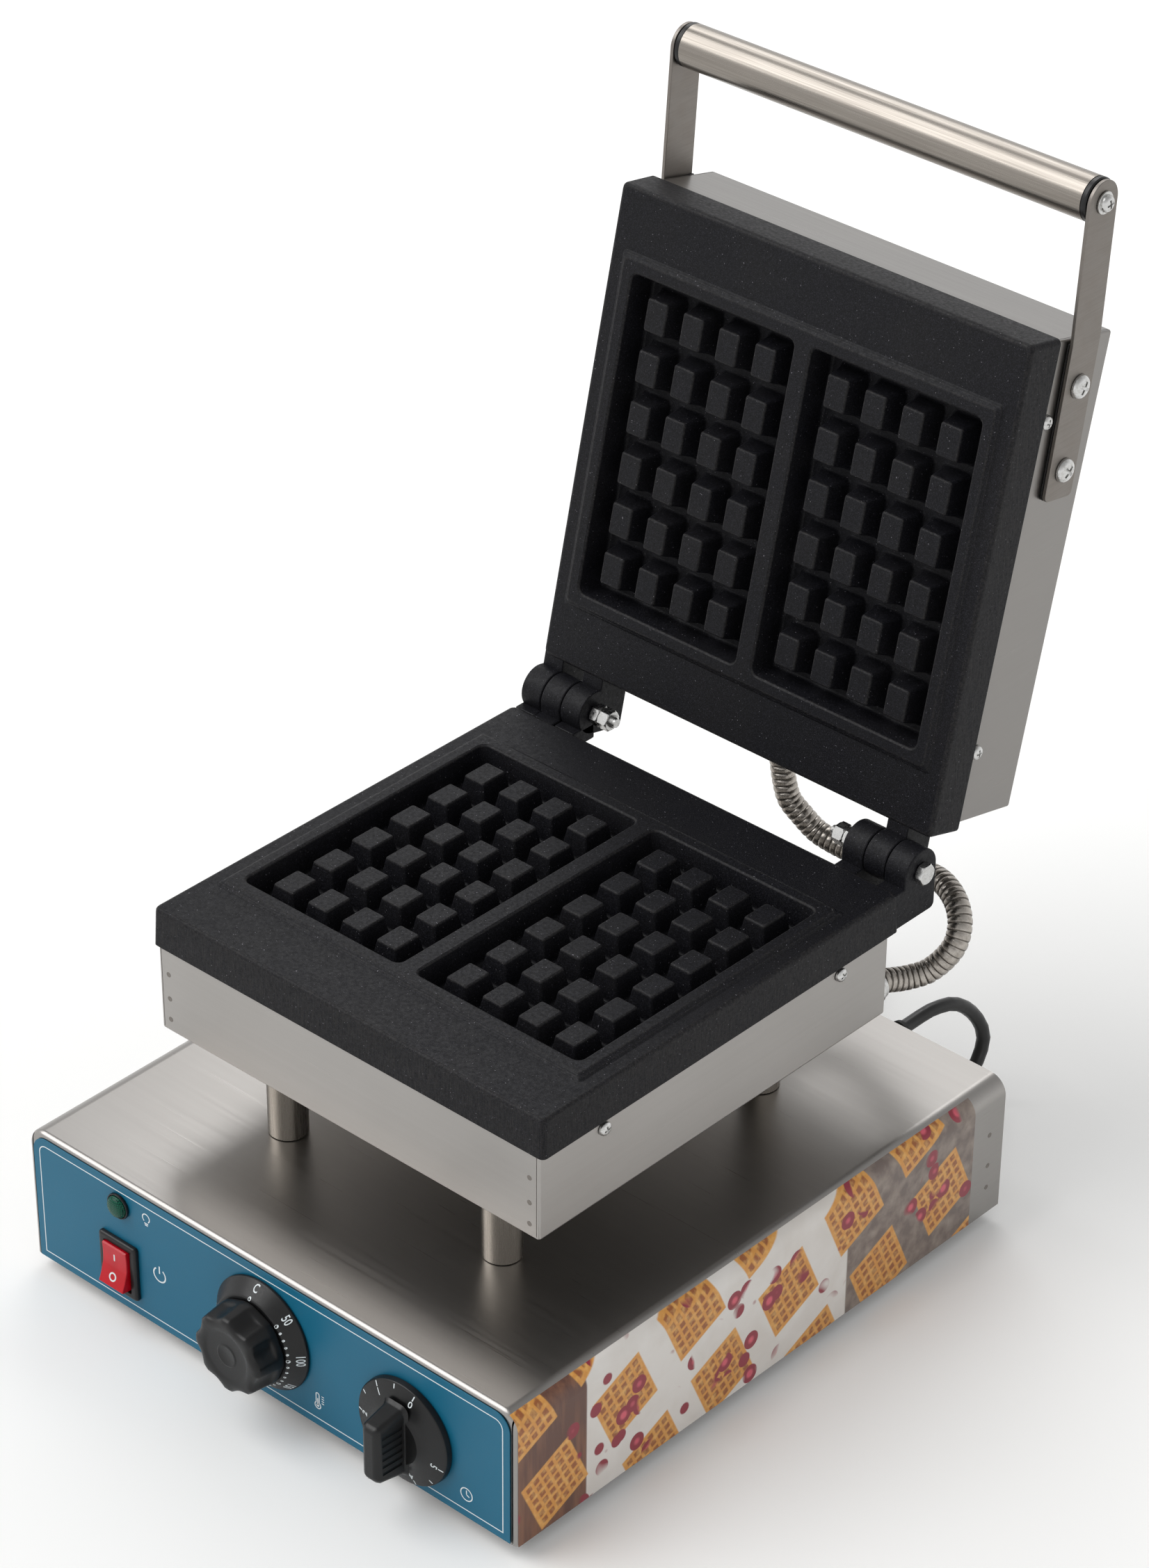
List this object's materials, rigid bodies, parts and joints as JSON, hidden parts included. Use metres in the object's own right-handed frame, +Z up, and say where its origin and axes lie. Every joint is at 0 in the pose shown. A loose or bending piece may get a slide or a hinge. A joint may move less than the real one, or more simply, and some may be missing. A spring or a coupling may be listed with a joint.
{
  "type": "rectangular waffle maker",
  "caption": "Countertop waffle maker: hinged cast plates with rectangular grid cavities on a raised stainless base, tube handle, front controls and a mains cord.",
  "frame": {"origin": "on the floor, midway between the foremost and the rearmost point of the open machine and midway across its width, leaving out the free mains cord", "axes": "+Z up, -Y towards the front with the controls, +X to the right as seen from the front"},
  "size_m": [0.3234, 0.5016, 0.5294],
  "materials": {
    "brushed_stainless": "brushed along the sheet",
    "satin_stainless_tube": "satin drawn tube",
    "zinc_plated_steel": "bright zinc",
    "cast_iron": "non-stick coated casting",
    "printed_overlay": "satin printed film",
    "black_rubber": "matt",
    "black_plastic": "fine texture",
    "red_plastic": "translucent gloss",
    "green_lens": "clear gloss",
    "brass": "plain",
    "element_sheath": "heat-darkened"
  },
  "bodies": {
    "base": {"base_cover": "brushed_stainless", "bottom_plate": "brushed_stainless", "conduit_hose": "satin_stainless_tube", "control_panel": "printed_overlay", "cord_gland": "black_rubber", "foot_front_left": "black_rubber", "foot_front_right": "black_rubber", "foot_rear_left": "black_rubber", "foot_rear_right": "black_rubber", "hinge_bolt_left": "zinc_plated_steel", "hinge_bolt_right": "zinc_plated_steel", "hinge_locknut_left": "zinc_plated_steel", "hinge_locknut_right": "zinc_plated_steel", "hinge_nut_left": "zinc_plated_steel", "hinge_nut_right": "zinc_plated_steel", "hose_fitting_lower": "zinc_plated_steel", "lower_heating_element": "element_sheath", "lower_housing": "brushed_stainless", "lower_housing_screw_front_left": "zinc_plated_steel", "lower_housing_screw_front_right": "zinc_plated_steel", "lower_housing_screw_rear_left": "zinc_plated_steel", "lower_housing_screw_rear_right": "zinc_plated_steel", "lower_plate": "cast_iron", "mains_cord": "black_rubber", "mains_cord_coil": "black_rubber", "mains_plug": "black_plastic", "pilot_lamp_bezel": "black_plastic", "pilot_lamp_lens": "green_lens", "post_front_left": "satin_stainless_tube", "post_front_right": "satin_stainless_tube", "post_rear_left": "satin_stainless_tube", "post_rear_right": "satin_stainless_tube", "rear_panel": "brushed_stainless", "switch_frame": "black_plastic", "terminal_block": "brass", "thermostat_body": "black_plastic", "timer_body": "black_plastic"},
    "lid": {"handle_end_screw_left": "zinc_plated_steel", "handle_end_screw_right": "zinc_plated_steel", "handle_strap_left": "brushed_stainless", "handle_strap_right": "brushed_stainless", "handle_tube": "satin_stainless_tube", "hose_fitting_upper": "zinc_plated_steel", "strap_screw_left_1": "zinc_plated_steel", "strap_screw_left_2": "zinc_plated_steel", "strap_screw_right_1": "zinc_plated_steel", "strap_screw_right_2": "zinc_plated_steel", "strap_spacer_left": "black_rubber", "strap_spacer_right": "black_rubber", "upper_heating_element": "element_sheath", "upper_housing": "brushed_stainless", "upper_housing_screw_front_left": "zinc_plated_steel", "upper_housing_screw_front_right": "zinc_plated_steel", "upper_housing_screw_rear_left": "zinc_plated_steel", "upper_housing_screw_rear_right": "zinc_plated_steel", "upper_plate": "cast_iron"},
    "thermostat_control": {"thermostat_dial": "black_plastic", "thermostat_knob": "black_plastic"},
    "timer_control": {"timer_knob": "black_plastic"},
    "rocker": {"switch_rocker": "red_plastic"}
  },
  "joints": [
    {"name": "lid_hinge", "type": "hinge", "parent": "base", "child": "lid", "pos_m": [0, 0.11162, 0.2056], "axis": [1, 0, 0], "range_deg": [0, 103], "deforming": ["conduit_hose"]},
    {"name": "thermostat_turn", "type": "hinge", "parent": "base", "child": "thermostat_control", "pos_m": [0, -0.21068, 0.0465], "axis": [0, -1, 0], "range_deg": [0, 270]},
    {"name": "timer_turn", "type": "hinge", "parent": "base", "child": "timer_control", "pos_m": [0.0935, -0.21068, 0.0405], "axis": [0, 1, 0], "range_deg": [0, 300]},
    {"name": "rocker_tilt", "type": "hinge", "parent": "base", "child": "rocker", "pos_m": [-0.0985, -0.20918, 0.034], "axis": [1, 0, 0], "range_deg": [0, 18]}
  ]
}
